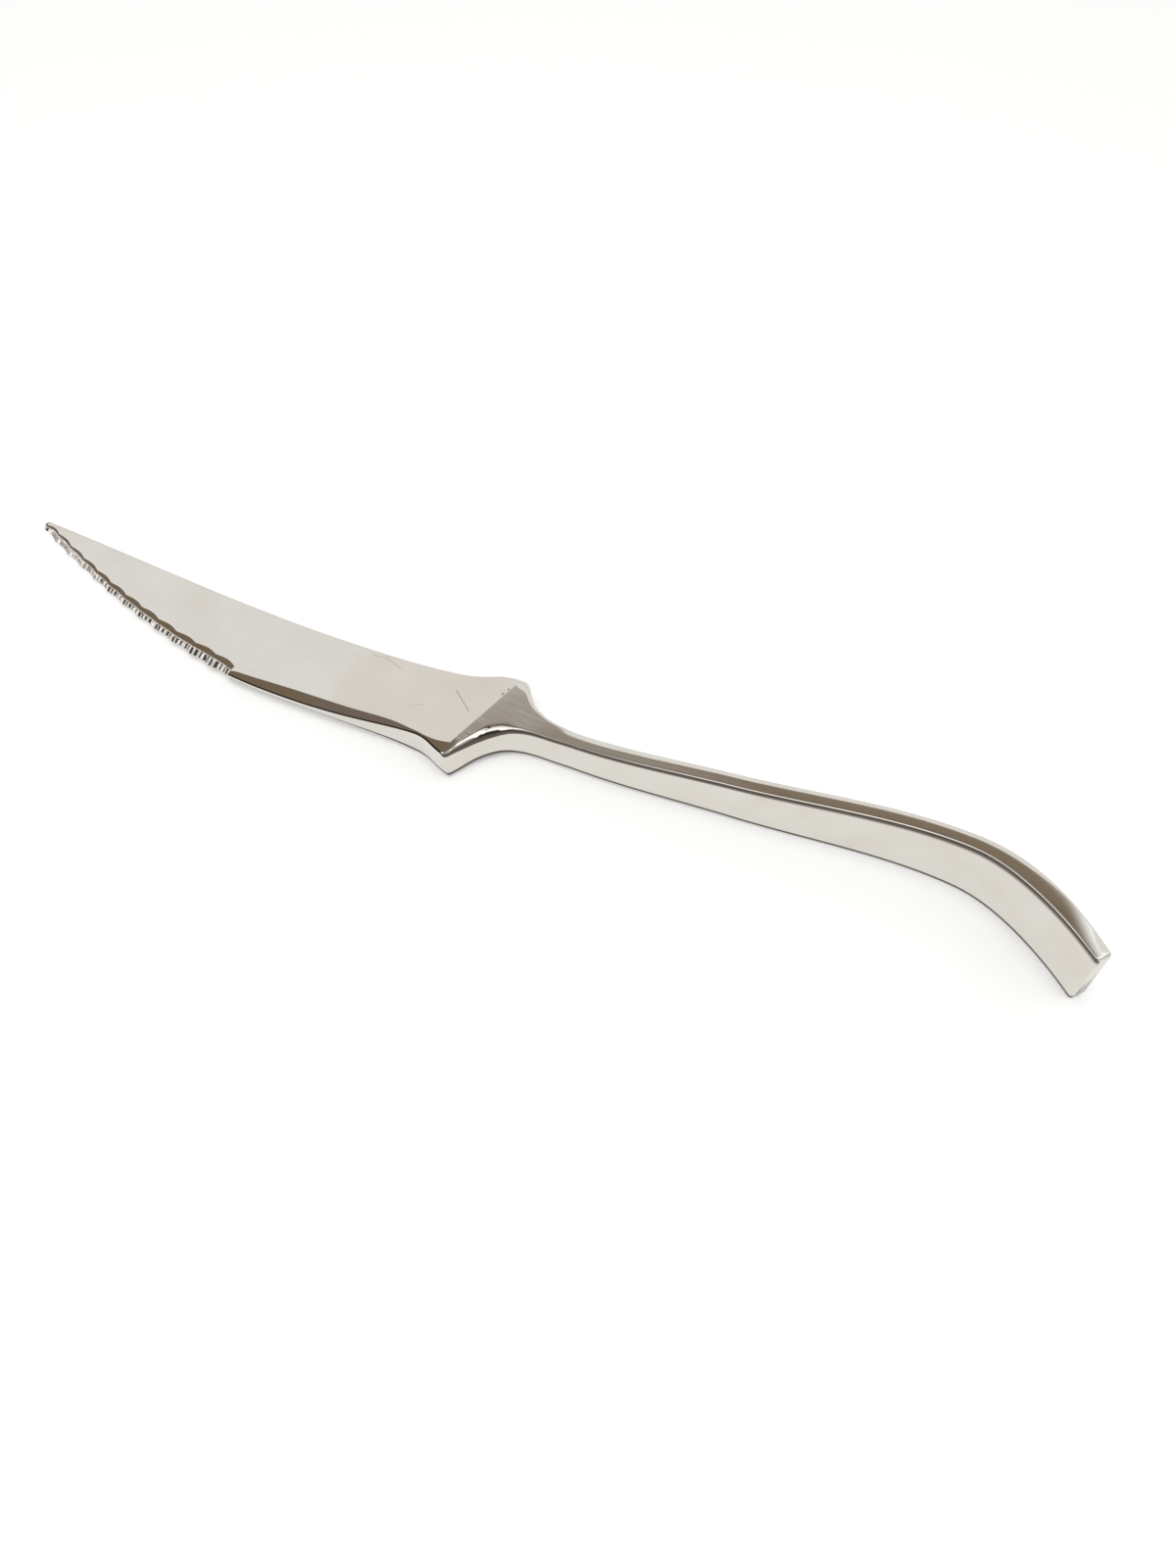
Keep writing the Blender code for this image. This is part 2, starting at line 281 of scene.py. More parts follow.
def blade_ring(u, scallops=None):
    """Ring around the blade from its edge, u from the tip, slanting from the joint's rake to the tip."""
    share = u / LOW_END
    edge_x = u - BLADE_LENGTH
    spine_x = mix(-BLADE_LENGTH, UPPER_WING * JOINT_SLOPE, share)
    spine = Vector((spine_x, curve(SPINE_LINE, spine_x)))
    edge = Vector((edge_x, curve(BLUNT_LINE if scallops is None else SERRATED_LINE, edge_x)))
    across = (spine - edge).normalized()
    depth = (spine - edge).length
    half = blade_half(share)
    if scallops is not None:
        upper = fluted_bevel(scallops, half)
        inner = Vector((min(UNDER_BEVEL, depth / 2), -half))
        steps = len(upper) + SIDE_POINTS
        lower = [upper[0].lerp(inner, t) for t in spread(0, 1, steps)[1:]]
    else:
        upper = plain_bevel(u - SERRATED_LENGTH, half)
        lower = blunt_under(upper)
    back = rounded_spine(depth, half, share)
    face = [Vector((inward, half)) for inward in creased(upper[-1].x, back[0].x, FACE_STEPS)[1:-1]]
    low_face = [Vector((inward, -half)) for inward in creased(back[0].x, lower[-1].x, UNDER_STEPS)[1:-1]]
    nose = 1.0
    if u < NOSE_LENGTH:
        nose = sqrt(1 - (1 - u / NOSE_LENGTH) ** 2)
    middle = (edge + spine) / 2
    shape = upper + face + back + low_face + lower[::-1]
    shine = [BRIGHT] * len(shape)
    if scallops is None:
        # Painted shade, a dark tone for the shadowed table they mirror, goes on the rounded foot of the
        # upper bevel, on that of the lower one and on the line above it
        foot = EDGE_STEPS + 1
        shine[:foot] = [PAINTED_SHADE] * foot
        shine[-foot - SIDE_POINTS:-BRIGHT_SIDE_POINTS] = [PAINTED_SHADE] * (foot + SIDE_POINTS - BRIGHT_SIDE_POINTS)
    ring = []
    for (inward, up), finish_and_shade in zip(shape, shine):
        point = edge + across * inward
        point = middle + (point - middle) * nose
        ring.append(Vector((point.x, point.y, up * mix(NOSE_THIN, 1.0, nose), finish_and_shade)))
    return ring


def close_end(bm, loop, stub):
    """Close an end flat, around a stub of two square loops that stands out of it or is sunk in it."""
    if stub is None:
        bm.faces.new(loop)
        return
    root, tip = ([bm.verts.new(lie_down @ corner) for corner in corners] for corners in stub)
    rim = []
    for ring in (loop, root):
        for a, b in zip(ring, ring[1:] + ring[:1]):
            rim.append(bm.edges.get((a, b)) or bm.edges.new((a, b)))
    bmesh.ops.triangle_fill(bm, edges=rim, use_beauty=True)
    for i in range(4):
        j = (i + 1) % 4
        bm.faces.new((root[i], root[j], tip[j], tip[i]))
    bm.faces.new(tip)


SHARP_ANGLE = radians(24)


def skin(name, rings, first_stub=None, last_stub=None):
    """A closed shell through rings of points, laid as the knife lies. Their last value is the finish and
    painted shade.
    """
    bm = bmesh.new()
    finish_and_shade = bm.verts.layers.float.new("finish_and_shade")
    loops = []
    for ring in rings:
        loops.append([bm.verts.new(lie_down @ point.to_3d()) for point in ring])
        for vertex, point in zip(loops[-1], ring):
            vertex[finish_and_shade] = point.w
    count = len(loops[0])
    for near, far in zip(loops, loops[1:]):
        for i in range(count):
            j = (i + 1) % count
            bm.faces.new((near[i], near[j], far[j], far[i]))
    close_end(bm, loops[0], first_stub)
    close_end(bm, loops[-1], last_stub)
    bmesh.ops.recalc_face_normals(bm, faces=bm.faces)
    for face in bm.faces:
        face.smooth = True
    mesh = bpy.data.meshes.new(name)
    bm.to_mesh(mesh)
    bm.free()
    mesh.set_sharp_from_angle(angle=SHARP_ANGLE)
    piece = bpy.data.objects.new(name, mesh)
    bpy.context.scene.collection.objects.link(piece)
    return piece


TANG_LENGTH = 6.0
TANG_HEIGHT = 1.0
TANG_ROOT_WIDTH = 7.0
TANG_TIP_WIDTH = 1.8
TANG_HALF = 1.2


def tang_stub(start, grow):
    """Corners of the tang's root and tip, or with grow those of the socket around it."""
    taper = (TANG_TIP_WIDTH - TANG_ROOT_WIDTH) / TANG_LENGTH / 2
    top = TANG_HALF + grow
    back = TANG_LENGTH + grow
    root, tip = [], []
    for side, lift in ((-1, -1), (1, -1), (1, 1), (-1, 1)):
        reach = TANG_HEIGHT + side * (TANG_ROOT_WIDTH / 2 + grow)
        root_y = (reach + side * taper * start) / (1 - side * taper * JOINT_SLOPE)
        root.append(Vector((root_y * JOINT_SLOPE + start, root_y, lift * top)))
        tip.append(Vector((back, reach + side * taper * back, lift * top)))
    return root, tip


NOSE_START = 0.08
NOSE_END = 0.9
NOSE_RINGS = 7
HEEL_STEP = 0.1
RICASSO_RINGS = 140
SERRATED_RINGS = SCALLOP_COUNT * FLUTES_PER_SCALLOP * STATIONS_PER_FLUTE
blade_rings = [blade_ring(NOSE_LENGTH * t * t, 0.0) for t in spread(NOSE_START, NOSE_END, NOSE_RINGS)]
for scallops in spread(0.0, SCALLOP_COUNT, SERRATED_RINGS):
    along = scallops / SCALLOP_COUNT
    u = SERRATED_LENGTH * along + SCALLOP_DRIFT * sin(pi * along)
    if u >= NOSE_LENGTH:
        blade_rings.append(blade_ring(u, scallops))
for u in spread(SERRATED_LENGTH + HEEL_STEP, LOW_END, RICASSO_RINGS):
    blade_rings.append(blade_ring(u))
for point in blade_rings[-1]:
    point.x -= SEAM / 2
blade = skin("polished_blade", blade_rings, last_stub=tang_stub(-SEAM / 2, 0.0))


def join(tree, value, socket):
    """Link an output to a socket, or set the socket to a fixed value."""
    if isinstance(value, bpy.types.NodeSocket):
        tree.links.new(value, socket)
    else:
        socket.default_value = value


def add(tree, kind, **inputs):
    """A new shader node, each named input linked to another node's output or set to a fixed value."""
    node = tree.nodes.new("ShaderNode" + kind)
    for name, value in inputs.items():
        join(tree, value, node.inputs[name.replace("_", " ")])
    return node


def number(tree, operation, *values):
    """The number that a math operation gives."""
    node = tree.nodes.new("ShaderNodeMath")
    node.operation = operation
    for socket, value in zip(node.inputs, values):
        join(tree, value, socket)
    return node.outputs["Value"]


def arrow(tree, operation, *values):
    """The vector, or the single value, that a vector operation gives."""
    node = tree.nodes.new("ShaderNodeVectorMath")
    node.operation = operation
    for socket, value in zip(node.inputs, values):
        join(tree, value, socket)
    return node.outputs["Value" if operation in ("DOT_PRODUCT", "LENGTH") else "Vector"]


def step(tree, value, low, high):
    """0 at low and 1 at high, with a soft change between."""
    node = add(tree, "MapRange", Value=value, From_Min=low, From_Max=high)
    node.interpolation_type = "SMOOTHSTEP"
    return node.outputs["Result"]


def layer(tree, below, mask, colour):
    """One colour laid over what is below it, as far as the mask shows it."""
    node = tree.nodes.new("ShaderNodeMix")
    node.data_type = "RGBA"
    join(tree, mask, node.inputs["Factor"])
    join(tree, below, node.inputs["A"])
    node.inputs["B"].default_value = (*colour, 1)
    return node.outputs["Result"]


SCRATCH_CORE = 0.3


def scratch(tree, place, start, end, width):
    """1 on a straight scratch between two points of the knife's flat, fading to 0 at its width."""
    start, end = (lie_down @ Vector((*point, 0)) for point in (start, end))
    run = Vector((end.x - start.x, end.y - start.y, 0))
    offset = arrow(tree, "SUBTRACT", arrow(tree, "MULTIPLY", place, (1, 1, 0)), (start.x, start.y, 0))
    along = arrow(tree, "DOT_PRODUCT", offset, run / run.length_squared)
    along = number(tree, "MAXIMUM", number(tree, "MINIMUM", along, 1.0), 0.0)
    foot = arrow(tree, "MULTIPLY", along, run)
    apart = arrow(tree, "LENGTH", arrow(tree, "SUBTRACT", offset, foot))
    return step(tree, apart, width * MILLIMETRE, SCRATCH_CORE * width * MILLIMETRE)


# Patterns in the steel repeat this many times a metre: smears, hairlines drawn out along X, and ripples
SMEAR_SCALE = 110.0
HAIRLINE_SCALE = (120, 3500, 3500)
RIPPLE_SCALE = 350.0
RIPPLE_DEPTH = 0.000004
# Tints and gloss are shares of the steel's own, each over a range of its pattern
SMEARED = (0.96, 0.945, 0.92)
CLEAN = (1.02, 1.02, 1.02)
SMEAR_RANGE = (0.3, 0.7)
HAIRLINE_GLOSS = (0.7, 1.5)
HAIRLINE_RANGE = (0.3, 0.75)
BRUSHED_SHARE = 0.5
BRUSHED_RANGE = (0.5, 0.75)
# Painted shade lies over this range of the finish-and-shade value
PAINTED_SHADE_RANGE = (-0.3, -0.9)
BRUSHED_COLOUR = (1.0, 1.0, 1.0)
SCRATCH_COLOUR = (0.14, 0.12, 0.1)


def polished_steel(name, colour, painted_shade_colour, roughness, satin_roughness=0.0, scratches=()):
    """Steel with faint smears, hairlines and ripples, satin where the finish says so, and toned dark as
    painted shade where the value stands for shade.
    """
    material = bpy.data.materials.new(name)
    material.use_nodes = True
    tree = material.node_tree
    shader = tree.nodes["Principled BSDF"]
    shader.inputs["Metallic"].default_value = 1.0
    place = add(tree, "TexCoord").outputs["Object"]
    smear = add(tree, "TexNoise", Vector=place, Scale=SMEAR_SCALE, Detail=5.0)
    tint = add(tree, "ValToRGB", Fac=smear.outputs["Fac"])
    for stop, position, shade in zip(tint.color_ramp.elements, SMEAR_RANGE, (SMEARED, CLEAN)):
        stop.position = position
        stop.color = (*[channel * share for channel, share in zip(colour, shade)], 1)
    surface = tint.outputs["Color"]
    stretched = add(tree, "Mapping", Vector=place, Scale=HAIRLINE_SCALE)
    hairs = add(tree, "TexNoise", Vector=stretched.outputs["Vector"], Scale=1.0, Detail=3.0).outputs["Fac"]
    fewest, most = HAIRLINE_RANGE
    smoothest, roughest = (roughness * share for share in HAIRLINE_GLOSS)
    gloss = add(tree, "MapRange", Value=hairs, From_Min=fewest, From_Max=most,
                To_Min=smoothest, To_Max=roughest).outputs["Result"]
    finish_and_shade = add(tree, "Attribute")
    finish_and_shade.attribute_name = "finish_and_shade"
    satin = number(tree, "MAXIMUM", finish_and_shade.outputs["Fac"], 0.0)
    gloss = number(tree, "MULTIPLY_ADD", satin, satin_roughness, gloss)
    bright_hairs = number(tree, "MULTIPLY", step(tree, hairs, *BRUSHED_RANGE), BRUSHED_SHARE)
    brushed = number(tree, "MULTIPLY", satin, bright_hairs)
    surface = layer(tree, surface, brushed, BRUSHED_COLOUR)
    # Painted shade: edges with a value below zero take a dark tone for the shadowed table they would mirror
    surface = layer(tree, surface, step(tree, finish_and_shade.outputs["Fac"], *PAINTED_SHADE_RANGE), painted_shade_colour)
    for start, end, width, depth in scratches:
        broken = number(tree, "MULTIPLY", scratch(tree, place, start, end, width), depth)
        surface = layer(tree, surface, broken, SCRATCH_COLOUR)
    ripple = add(tree, "TexNoise", Vector=place, Scale=RIPPLE_SCALE, Detail=1.0)
    bump = add(tree, "Bump", Height=ripple.outputs["Fac"], Distance=RIPPLE_DEPTH)
    tree.links.new(surface, shader.inputs["Base Color"])
    tree.links.new(gloss, shader.inputs["Roughness"])
    tree.links.new(bump.outputs["Normal"], shader.inputs["Normal"])
    return material


BLADE_COLOUR = (0.76, 0.74, 0.705)
# Painted shade on the blade's rounded edges, near black for the shadowed table they mirror
BLADE_PAINTED_SHADE_COLOUR = (0.025, 0.02, 0.018)
BLADE_ROUGHNESS = 0.04
# Scratches and pits on the upper face: two ends, width and strength
SCRATCHES = (
    ((-8.6, 1.2), (-3.45, -2.3), 0.1, 0.8),
    ((0.35, 4.0), (0.5, 4.4), 0.22, 0.9),
    ((0.8, 5.5), (0.9, 5.8), 0.22, 0.85),
    ((-29.5, 2.0), (-26.2, 2.5), 0.2, 0.2),
    ((-26.2, 2.5), (-21.8, 1.3), 0.2, 0.2),
    ((-14.9, -5.65), (-12.55, -4.5), 0.2, 0.15),
)
mirror_steel = polished_steel("mirror_polished_steel", BLADE_COLOUR, BLADE_PAINTED_SHADE_COLOUR, BLADE_ROUGHNESS,
                              scratches=SCRATCHES)
blade.data.materials.append(mirror_steel)
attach(blade, "root")
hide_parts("blade")

# Handle: a flat steel strip stood on edge, forged in one piece with the winged bolster, curved in an S
# and polished all over, with a satin facet between the joint and the neck. Its socket takes the tang.
HANDLE_LENGTH = 120.1
NECK_LENGTH = 19.0
END_ROUND = 0.6
NECK_THICKNESS = 3.2
NECK_SLOPE = 0.095
THICKNESS_LINE = (
    (NECK_LENGTH, NECK_THICKNESS, 0.0),
    (90.0, NECK_THICKNESS, 0.0),
    (104.0, 3.75, 0.03),
    (HANDLE_LENGTH, 3.3, -0.05),
)
MIDDLE_LINE = (
    (NECK_LENGTH, 1.44, NECK_SLOPE),
    (50.0, 6.7, 0.17),
    (93.3, 13.8, 0.0),
    (HANDLE_LENGTH, 2.4, -0.77),
)
WIDTH_LINE = (
    (-LOWER_WING * JOINT_SLOPE, 2 * BOLSTER_HALF, 0.0),
    (NECK_LENGTH, 8.88, 0.067),
    (HANDLE_LENGTH, 17.0, 0.027),
)
NEAR_ROUND = (
    (-LOWER_WING * JOINT_SLOPE, WING_ROUND, 0.6),
    (-1.8, 0.9, 0.3),
    (1.0, 1.5, 0.05),
    (3.5, 1.4, -0.1),
    (7.0, 0.8, -0.1),
    (11.0, 0.5, -0.02),
    (26.0, 0.4, 0.0),
    (HANDLE_LENGTH, 0.4, 0.0),
)
FAR_ROUND = (
    (UPPER_WING * JOINT_SLOPE, WING_BACK_ROUND, -0.8),
    (3.4, 2.3, -1.0),
    (4.4, 1.4, -0.5),
    (6.0, 1.05, -0.12),
    (8.0, 0.8, -0.05),
    (12.0, 0.65, -0.02),
    (26.0, 0.5, 0.0),
    (HANDLE_LENGTH, 0.5, 0.0),
)
TOP_CROWN = 0.085
CROWN_START = 9.0
CROWN_FADE = 16.0
WING_LEAN_LENGTH = 2.5
END_ROLL = tan(radians(8))
ROLL_LENGTH = 10.0
SATIN_LENGTH = 8.0
SATIN_FADE = 8.0
WING_SATIN_START = 1.5
SOCKET_ROOM = 1.0
# Painted shade reaches this far up the bottom rounds, and over the near top round below this angle
EDGE_TONE = 0.12
DARK_ARC = 42
ROUND_LIMIT = 0.42
ROUND_STEPS = 14
TOP_STEPS = 10
FAR_SIDE_STEPS = 6
NEAR_SIDE_STEPS = 7


def strip_sides(x):
    """The strip's near and far side at x, square across its middle line."""
    step_back = 0.02
    along = Vector((step_back, curve(MIDDLE_LINE, x) - curve(MIDDLE_LINE, x - step_back)))
    across = Vector((-along.y, along.x)).normalized()
    reach = curve(THICKNESS_LINE, x) / 2
    middle = Vector((x, curve(MIDDLE_LINE, x)))
    return middle - across * reach, middle + across * reach


def strip_ring(near, far, near_round, far_round, lean=0.0, inset=0.0, near_stretch=1.0, far_stretch=1.0):
    """Ring around the strip from its near side over the top to its far side and back underneath."""
    x = (near.x + far.x) / 2
    half = curve(WIDTH_LINE, x) / 2
    across = (far - near).normalized()
    width = (far - near).length
    near_reach = min(near_round * near_stretch, width * ROUND_LIMIT)
    far_reach = min(far_round * far_stretch, width * ROUND_LIMIT)
    roll = END_ROLL * ease((x - HANDLE_LENGTH + ROLL_LENGTH) / ROLL_LENGTH)
    satin = SATIN - ease((x - SATIN_LENGTH) / SATIN_FADE)
    crown = TOP_CROWN * ease((x - CROWN_START) / CROWN_FADE)
    arched = []
    # The near round's lower arc takes painted shade, a dark tone for the shadow it mirrors
    for a in spread(0, 90, ROUND_STEPS):
        arched.append((near_reach * (1 - cos(radians(a))),
                       half - near_round * (1 - sin(radians(a))),
                       PAINTED_SHADE if a < DARK_ARC else BRIGHT))
    for d in creased(near_reach, width - far_reach, TOP_STEPS)[1:-1]:
        arched.append((d, half, satin * (1 - lean * ease(WING_SATIN_START - d / WING_BEVEL))))
    for a in spread(90, 0, ROUND_STEPS):
        arched.append((width - far_reach * (1 - cos(radians(a))),
                       half - far_round * (1 - sin(radians(a))),
                       BRIGHT))
    top = []
    for d, z, shine in arched:
        wing_drop = lean * BEVEL_SLOPE * max(0.0, WING_BEVEL - d)
        top.append((d, z - crown * (2 * d / width - 1) ** 2 - roll * d - wing_drop, shine))
    far_side = [(width, top[-1][1] * t, BRIGHT) for t in spread(1, -1, FAR_SIDE_STEPS)[1:-1]]
    rise = top[0][1]
    # The foot of the near side takes painted shade
    near_side = [(0.0, DARK_RISE - rise, PAINTED_SHADE)]
    for z in spread(DARK_FADE * DARK_RISE - rise, rise, NEAR_SIDE_STEPS)[:-1]:
        near_side.append((0.0, z, BRIGHT))
    middle = width / 2
    # The bottom rounds take painted shade, a dark tone for the shadowed table they mirror
    under = [(d, -z, PAINTED_SHADE if z < half - EDGE_TONE else shine) for d, z, shine in reversed(top)]
    ring = []
    for d, z, shine in top + far_side + under + near_side:
        point = near + across * (middle + (d - middle) * (1 - 2 * inset / width))
        ring.append(Vector((point.x, point.y, z * (1 - inset / half), shine)))
    return ring


BOLSTER_RINGS = 260
CROWDING = 1.6


def bolster_rings():
    """Rings from the raked joint to the neck, between two concave sides."""
    near_neck, far_neck = strip_sides(NECK_LENGTH)
    near_start = Vector((-LOWER_WING * JOINT_SLOPE, -LOWER_WING))
    far_start = Vector((UPPER_WING * JOINT_SLOPE, UPPER_WING))
    near_side = (
        (*near_start, LOWER_WING_SLOPE),
        (-1.8, -12.55, 1.75),
        (1.5, -6.95, 1.35),
        (6.2, -2.55, 0.5),
        (13.2, -0.86, 0.1),
        (*near_neck, NECK_SLOPE),
    )
    far_side = (
        (*far_start, -0.2),
        (4.2, 8.55, -1.22),
        (7.0, 5.4, -0.98),
        (10.0, 3.84, -0.38),
        (13.5, 3.12, -0.06),
        (*far_neck, NECK_SLOPE),
    )

    def side_point(side, x):
        """The side's place at x, and its direction there."""
        ahead = 0.01
        y = curve(side, x)
        return Vector((x, y)), Vector((ahead, curve(side, x + ahead) - y)).normalized()

    rings = []
    for share in spread(0.0, 1.0, BOLSTER_RINGS)[:-1]:
        crowded = share ** CROWDING
        near_x = mix(near_start.x, near_neck.x, crowded)
        far_x = mix(far_start.x, far_neck.x, crowded)
        near, near_run = side_point(near_side, near_x)
        far, far_run = side_point(far_side, far_x)
        across = (far - near).normalized()
        lean = 1 - ease((near_x - near_start.x) / WING_LEAN_LENGTH)
        rings.append(strip_ring(near, far, curve(NEAR_ROUND, near_x), curve(FAR_ROUND, far_x), lean,
                                near_stretch=1 / abs(across.cross(near_run)),
                                far_stretch=1 / abs(across.cross(far_run))))
    return rings


STRIP_RINGS = 200
END_RINGS = 8
END_ANGLE = 88
handle_rings = bolster_rings()
for x in spread(NECK_LENGTH, HANDLE_LENGTH - END_ROUND, STRIP_RINGS):
    handle_rings.append(strip_ring(*strip_sides(x), curve(NEAR_ROUND, x), curve(FAR_ROUND, x)))
for a in spread(0, END_ANGLE, END_RINGS)[1:]:
    x = HANDLE_LENGTH - END_ROUND + END_ROUND * sin(radians(a))
    handle_rings.append(strip_ring(*strip_sides(x), curve(NEAR_ROUND, x), curve(FAR_ROUND, x),
                                   inset=END_ROUND * (1 - cos(radians(a)))))
for point in handle_rings[0]:
    point.x += SEAM / 2
handle = skin("polished_handle", handle_rings, first_stub=tang_stub(SEAM / 2, SOCKET_ROOM))
HANDLE_COLOUR = (0.76, 0.74, 0.7)
# Painted shade on the handle's rounded edges, a dark brown for the shadowed table they mirror
HANDLE_PAINTED_SHADE_COLOUR = (0.11, 0.09, 0.075)
HANDLE_ROUGHNESS = 0.045
SATIN_ROUGHNESS = 0.1
forged_steel = polished_steel("forged_steel", HANDLE_COLOUR, HANDLE_PAINTED_SHADE_COLOUR, HANDLE_ROUGHNESS,
                              SATIN_ROUGHNESS)
handle.data.materials.append(forged_steel)
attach(handle, "root")
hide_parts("handle")

# Brazing filler: a thin sleeve of silver braze around the tang, hidden in the bolster's socket.
# It is melted in when the blade is set, and it is all that holds the two pieces together.
BRAZE_COLOUR = (0.78, 0.72, 0.58)
# Painted shade colour for the braze, laid only where a point's value asks for it
BRAZE_PAINTED_SHADE_COLOUR = (0.4, 0.36, 0.28)
BRAZE_ROUGHNESS = 0.35
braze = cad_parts["tang_braze"]
silver_braze = polished_steel("silver_braze", BRAZE_COLOUR, BRAZE_PAINTED_SHADE_COLOUR, BRAZE_ROUGHNESS)
braze.data.materials.clear()
braze.data.materials.append(silver_braze)

# Stage: a plain white table in a softly lit room, with the camera where the photograph was taken.
# The table's own shading shows a faint shadow, and the room is what the polished steel mirrors.
TABLE_HALF = 3.0
PAPER_COLOUR = (0.92, 0.92, 0.915, 1)
PAPER_ROUGHNESS = 0.9
PAPER_SPECULAR = 0.1
# How much of the table is plain white to the camera and to the steel, whatever light falls on it
WHITE_SEEN = 0.3
SEEN_COLOUR = (1.0, 1.0, 0.995, 1)
WHITE_MIRRORED = 0.83
MIRRORED_COLOUR = (0.92, 0.91, 0.885, 1)
bm = bmesh.new()
bmesh.ops.create_grid(bm, x_segments=1, y_segments=1, size=TABLE_HALF)
mesh = bpy.data.meshes.new("table")
bm.to_mesh(mesh)
bm.free()
table = bpy.data.objects.new("table", mesh)
bpy.context.scene.collection.objects.link(table)
paper = bpy.data.materials.new("table_paper")
paper.use_nodes = True
tree = paper.node_tree
shader = tree.nodes["Principled BSDF"]
shader.inputs["Base Color"].default_value = PAPER_COLOUR
shader.inputs["Roughness"].default_value = PAPER_ROUGHNESS
shader.inputs["Specular IOR Level"].default_value = PAPER_SPECULAR
ray = add(tree, "LightPath").outputs
mirrored = number(tree, "MAXIMUM", ray["Is Glossy Ray"], ray["Is Transmission Ray"])
surface = shader.outputs["BSDF"]
for seen_by, share, colour in ((ray["Is Camera Ray"], WHITE_SEEN, SEEN_COLOUR),
                               (mirrored, WHITE_MIRRORED, MIRRORED_COLOUR)):
    white = add(tree, "MixShader", Fac=number(tree, "MULTIPLY", seen_by, share))
    tree.links.new(surface, white.inputs[1])
    tree.links.new(add(tree, "Emission", Color=colour).outputs["Emission"], white.inputs[2])
    surface = white.outputs["Shader"]
tree.links.new(surface, tree.nodes["Material Output"].inputs["Surface"])
table.data.materials.append(paper)

# Camera: turned to the knife, looking well down on it
CAMERA_LENS = 29.77
CAMERA_NEAREST = 0.01
CAMERA_PLACE = (0.08182, -0.11412, 0.219062)
CAMERA_DOWN = radians(59.47)
CAMERA_TURN = radians(28.905)
camera_data = bpy.data.cameras.new("camera")
camera_data.lens = CAMERA_LENS
camera_data.clip_start = CAMERA_NEAREST
camera = bpy.data.objects.new("camera", camera_data)
camera.location = CAMERA_PLACE
camera.rotation_euler = (pi / 2 - CAMERA_DOWN, 0, CAMERA_TURN)
bpy.context.scene.collection.objects.link(camera)
bpy.context.scene.camera = camera

# A wide soft lamp above the table, which the steel does not mirror
LAMP_SIZE = 0.6
LAMP_POWER = 4.4
LAMP_PLACE = (0.05, -0.1, 0.9)
lamp_data = bpy.data.lights.new("overhead_softbox", "AREA")
lamp_data.shape = "DISK"
lamp_data.size = LAMP_SIZE
lamp_data.energy = LAMP_POWER
lamp = bpy.data.objects.new("overhead_softbox", lamp_data)
lamp.location = LAMP_PLACE
lamp.visible_glossy = False
bpy.context.scene.collection.objects.link(lamp)

# Room around the knife: a direction counts as the place where it meets a level ceiling, in heights of that
# ceiling to the right of the camera and away from it
LOWEST_LIFT = 0.02
world = bpy.data.worlds.new("studio")
bpy.context.scene.world = world
world.use_nodes = True
tree = world.node_tree
turn = add(tree, "VectorRotate", Vector=add(tree, "TexCoord").outputs["Generated"], Angle=-CAMERA_TURN)
turn.rotation_type = "Z_AXIS"
heading = add(tree, "SeparateXYZ", Vector=turn.outputs["Vector"]).outputs
lift = number(tree, "MAXIMUM", heading["Z"], LOWEST_LIFT)
right = number(tree, "DIVIDE", heading["X"], lift)
away = number(tree, "DIVIDE", heading["Y"], lift)


def past(value, start, full):
    """0 up to start, and 1 from full on."""
    return step(tree, value, start, full)


def both(one, other):
    """1 where two masks are both 1."""
    return number(tree, "MULTIPLY", one, other)


def pane(value, low, high, soft):
    """1 between two borders, each of them soft to both sides."""
    return both(past(value, low - soft, low + soft), past(value, high + soft, high - soft))


def shifted(value, other, share):
    """A value with a share of another one added, which slants or bends the borders that it gives."""
    return number(tree, "MULTIPLY_ADD", other, share, value)


ceiling = add(tree, "ValToRGB", Fac=past(away, 0.25, 0.8))
ceiling.color_ramp.elements[0].color = (0.05, 0.04, 0.03, 1)
ceiling.color_ramp.elements[1].color = (0.285, 0.23, 0.175, 1)
ceiling.color_ramp.elements.new(0.35).color = (0.25, 0.2, 0.15, 1)
flute_band = pane(away, -0.85, -0.17, 0.03)
bend = number(tree, "MINIMUM", number(tree, "MAXIMUM", right, 0.0), 0.35)
to_far_wall = shifted(shifted(away, bend, 0.3), past(right, -0.15, -0.3), 0.03)
to_warm_stretch = shifted(away, right, 0.6)
softbox = both(pane(right, -0.36, 0.9, 0.02), pane(away, -0.45, 0.25, 0.02))
softbox_glare = number(tree, "MAXIMUM", past(right, 0.0, 0.35), past(away, 0.06, -0.08))
second_pane = both(pane(right, 0.35, 0.95, 0.03), pane(away, -1.25, 0.25, 0.03))
to_second_pane = shifted(away, right, 1.3)
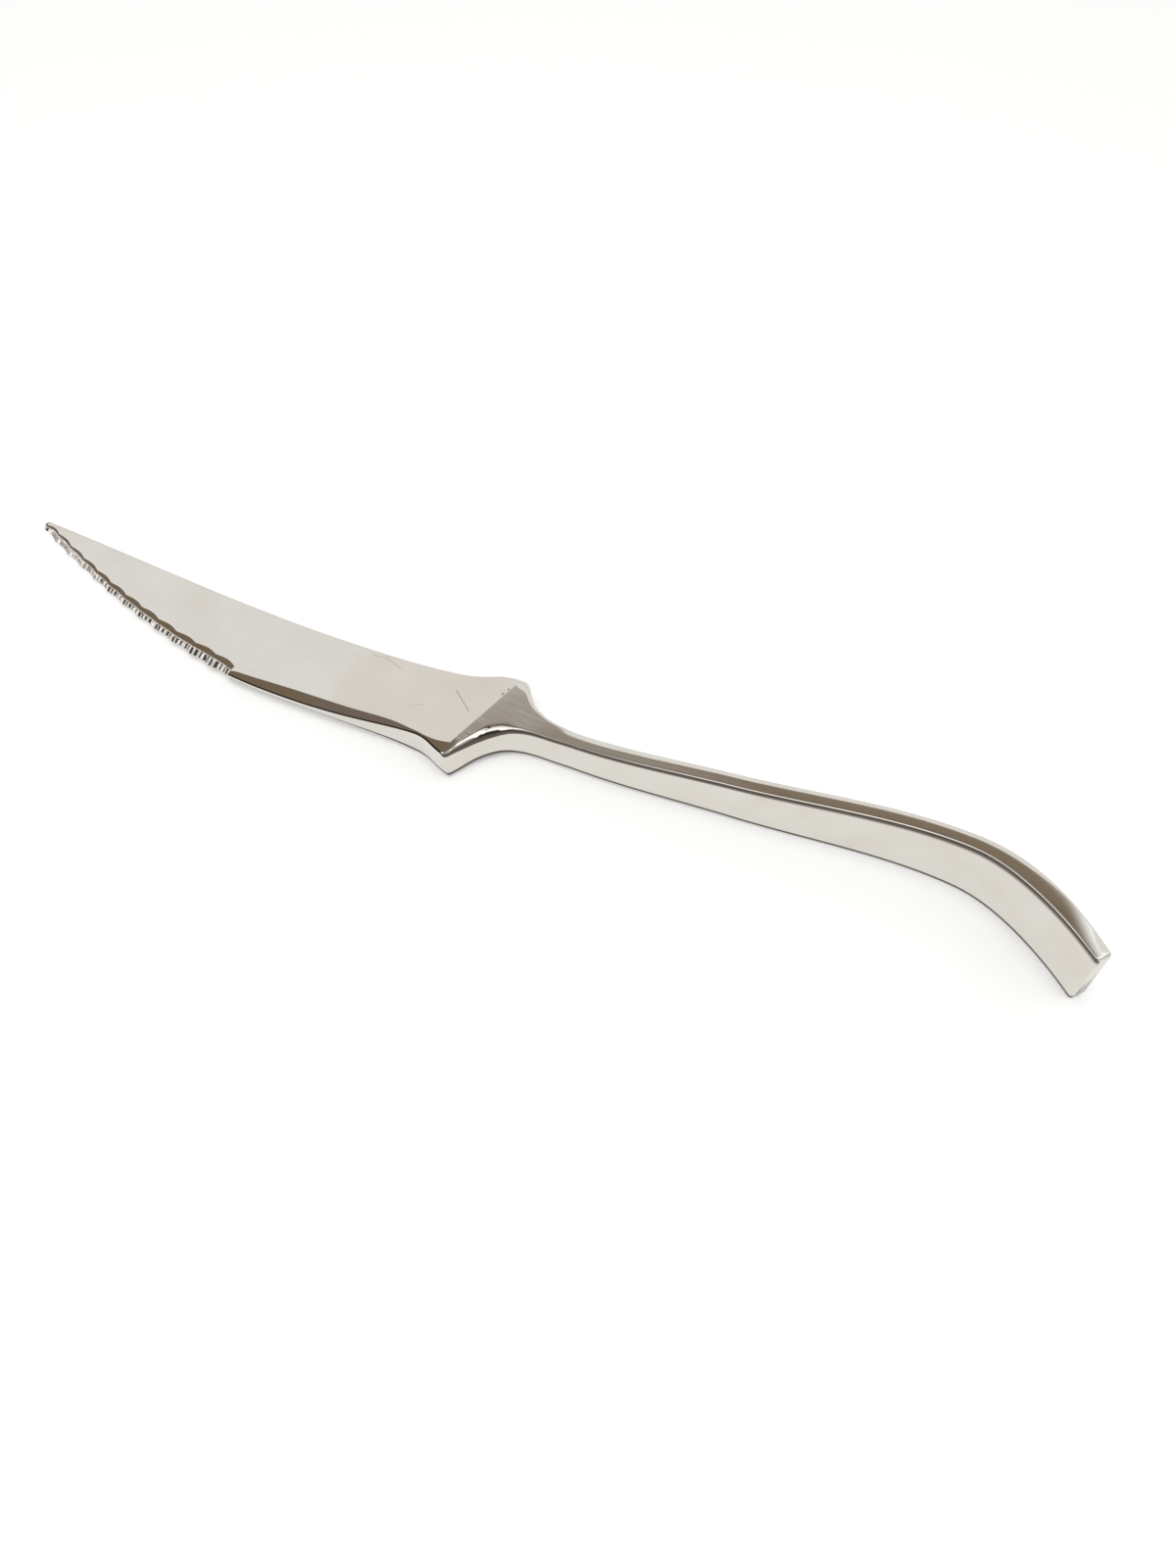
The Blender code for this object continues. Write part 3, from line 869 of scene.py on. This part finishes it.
room_layers = (
    # Ceiling to the left: pale, olive, brown, and pale again far out
    (both(past(right, 0.0, -0.12), past(away, 0.45, 0.6)), (0.36, 0.32, 0.28)),
    (past(right, -0.2, -0.32), (0.2, 0.155, 0.1)),
    (both(past(right, -0.3, -0.5), past(away, 0.42, 0.55)), (0.2, 0.16, 0.135)),
    (past(right, -2.3, -2.8), (0.9, 0.9, 0.89)),
    # Nearer on the left: a black stretch and a pale one beyond it
    (both(past(right, -0.36, -0.42), past(away, 0.16, 0.06)), (0.04, 0.035, 0.03)),
    (both(past(right, -0.72, -0.82), past(away, 0.12, 0.02)), (0.85, 0.85, 0.84)),
    # Behind the camera: dark, with a bright band that the flutes catch, and paler far back
    (past(away, -0.42, -0.52), (0.09, 0.075, 0.065)),
    (both(past(right, 0.05, -0.1), flute_band), (1.55, 1.55, 1.55)),
    (both(past(right, -0.25, -0.35), flute_band), (1.27, 1.27, 1.27)),
    (both(pane(right, -0.85, -0.3, 0.05), flute_band), (0.42, 0.41, 0.4)),
    (past(away, -1.5, -3.0), (0.45, 0.43, 0.4)),
    # Right wall and its window
    (past(right, 0.9, 1.7), (0.62, 0.61, 0.59)),
    (both(pane(right, 0.55, 1.25, 0.25), pane(away, -0.4, 0.8, 0.05)), (1.22, 1.25, 1.3)),
    # Far wall, with a brown stretch and a warm pale one on its left
    (past(to_far_wall, 0.765, 0.785), (0.91, 0.905, 0.89)),
    (both(pane(right, -2.2, -0.77, 0.05), past(away, 0.3, 0.4)), (0.2, 0.16, 0.12)),
    (both(pane(right, -0.68, -0.2, 0.05), past(to_warm_stretch, 0.64, 0.68)), (0.875, 0.852, 0.815)),
    # Softbox overhead, brightest to the right and towards the camera, and a second pane beside it
    (softbox, (0.8, 0.795, 0.78)),
    (both(softbox, softbox_glare), (1.5, 1.5, 1.5)),
    (both(second_pane, past(to_second_pane, -0.1, 0.1)), (1.45, 1.45, 1.45)),
    # Pale walls all round, low down
    (past(heading["Z"], 0.32, 0.22), (0.78, 0.78, 0.775)),
)
room = ceiling.outputs["Color"]
for mask, colour in room_layers:
    room = layer(tree, room, mask, colour)
tree.links.new(room, tree.nodes["Background"].inputs["Color"])
